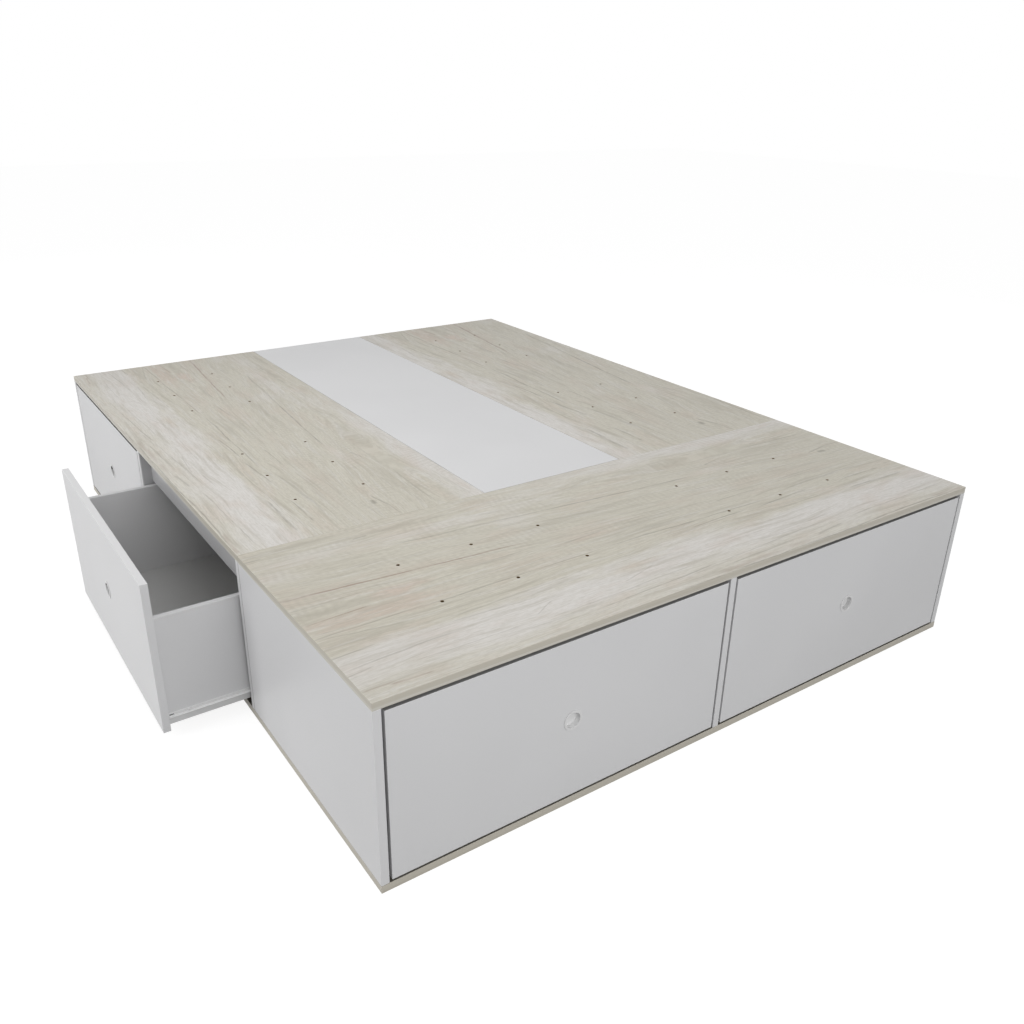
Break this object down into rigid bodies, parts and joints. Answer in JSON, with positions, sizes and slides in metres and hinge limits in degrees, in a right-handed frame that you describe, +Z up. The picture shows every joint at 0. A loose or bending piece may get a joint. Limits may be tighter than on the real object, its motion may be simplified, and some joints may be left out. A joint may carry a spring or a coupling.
{
  "type": "storage bed base",
  "caption": "Mattress platform built from drawer modules across the foot and along both sides, with a loose centre panel and drawers that pull out on roller runners.",
  "frame": {"origin": "on the floor at the middle of the foot edge", "axes": "+X across the bed to the right as seen from the foot, +Y from the foot to the head, +Z up"},
  "size_m": [1.6734, 1.9562, 0.368],
  "materials": {
    "oak_decor_board": "satin",
    "white_board": "satin",
    "fibreboard": "matte",
    "pine": "matte",
    "coated_steel": "satin",
    "white_plastic": "satin",
    "zinc_steel": "satin"
  },
  "bodies": {
    "carcass": {"cabinet_runners": "coated_steel", "centre_cleats": "pine", "centre_panel": "white_board", "connector_bolts": "zinc_steel", "foot_module_back_board": "white_board", "foot_module_bottom_board": "oak_decor_board", "foot_module_divider": "white_board", "foot_module_left_end_panel": "white_board", "foot_module_right_end_panel": "white_board", "foot_module_top_board": "oak_decor_board", "front_rails": "white_board", "left_module_back_board": "white_board", "left_module_bottom_board": "oak_decor_board", "left_module_divider": "white_board", "left_module_foot_end_panel": "white_board", "left_module_head_end_panel": "white_board", "left_module_top_board": "oak_decor_board", "right_module_back_board": "white_board", "right_module_bottom_board": "oak_decor_board", "right_module_divider": "white_board", "right_module_foot_end_panel": "white_board", "right_module_head_end_panel": "white_board", "right_module_top_board": "oak_decor_board", "wood_screws": "zinc_steel"},
    "foot_left_drawer": {"foot_left_drawer_back": "white_board", "foot_left_drawer_bottom": "fibreboard", "foot_left_drawer_front": "white_board", "foot_left_drawer_pull": "white_plastic", "foot_left_drawer_runners": "coated_steel", "foot_left_drawer_sides": "white_board"},
    "foot_right_drawer": {"foot_right_drawer_back": "white_board", "foot_right_drawer_bottom": "fibreboard", "foot_right_drawer_front": "white_board", "foot_right_drawer_pull": "white_plastic", "foot_right_drawer_runners": "coated_steel", "foot_right_drawer_sides": "white_board"},
    "head_left_drawer": {"head_left_drawer_back": "white_board", "head_left_drawer_bottom": "fibreboard", "head_left_drawer_front": "white_board", "head_left_drawer_pull": "white_plastic", "head_left_drawer_runners": "coated_steel", "head_left_drawer_sides": "white_board"},
    "middle_left_drawer": {"middle_left_drawer_back": "white_board", "middle_left_drawer_bottom": "fibreboard", "middle_left_drawer_front": "white_board", "middle_left_drawer_pull": "white_plastic", "middle_left_drawer_runners": "coated_steel", "middle_left_drawer_sides": "white_board"},
    "middle_right_drawer": {"middle_right_drawer_back": "white_board", "middle_right_drawer_bottom": "fibreboard", "middle_right_drawer_front": "white_board", "middle_right_drawer_pull": "white_plastic", "middle_right_drawer_runners": "coated_steel", "middle_right_drawer_sides": "white_board"},
    "head_right_drawer": {"head_right_drawer_back": "white_board", "head_right_drawer_bottom": "fibreboard", "head_right_drawer_front": "white_board", "head_right_drawer_pull": "white_plastic", "head_right_drawer_runners": "coated_steel", "head_right_drawer_sides": "white_board"}
  },
  "joints": [
    {"name": "foot_left_drawer_slide", "type": "slide", "parent": "carcass", "child": "foot_left_drawer", "axis": [0, -1, 0], "range_m": [0, 0.38]},
    {"name": "foot_right_drawer_slide", "type": "slide", "parent": "carcass", "child": "foot_right_drawer", "axis": [0, -1, 0], "range_m": [0, 0.38]},
    {"name": "head_left_drawer_slide", "type": "slide", "parent": "carcass", "child": "head_left_drawer", "axis": [-1, 0, 0], "range_m": [0, 0.38]},
    {"name": "middle_left_drawer_slide", "type": "slide", "parent": "carcass", "child": "middle_left_drawer", "axis": [-1, 0, 0], "range_m": [-0.176, 0.204]},
    {"name": "middle_right_drawer_slide", "type": "slide", "parent": "carcass", "child": "middle_right_drawer", "axis": [1, 0, 0], "range_m": [0, 0.38]},
    {"name": "head_right_drawer_slide", "type": "slide", "parent": "carcass", "child": "head_right_drawer", "axis": [1, 0, 0], "range_m": [0, 0.38]}
  ]
}
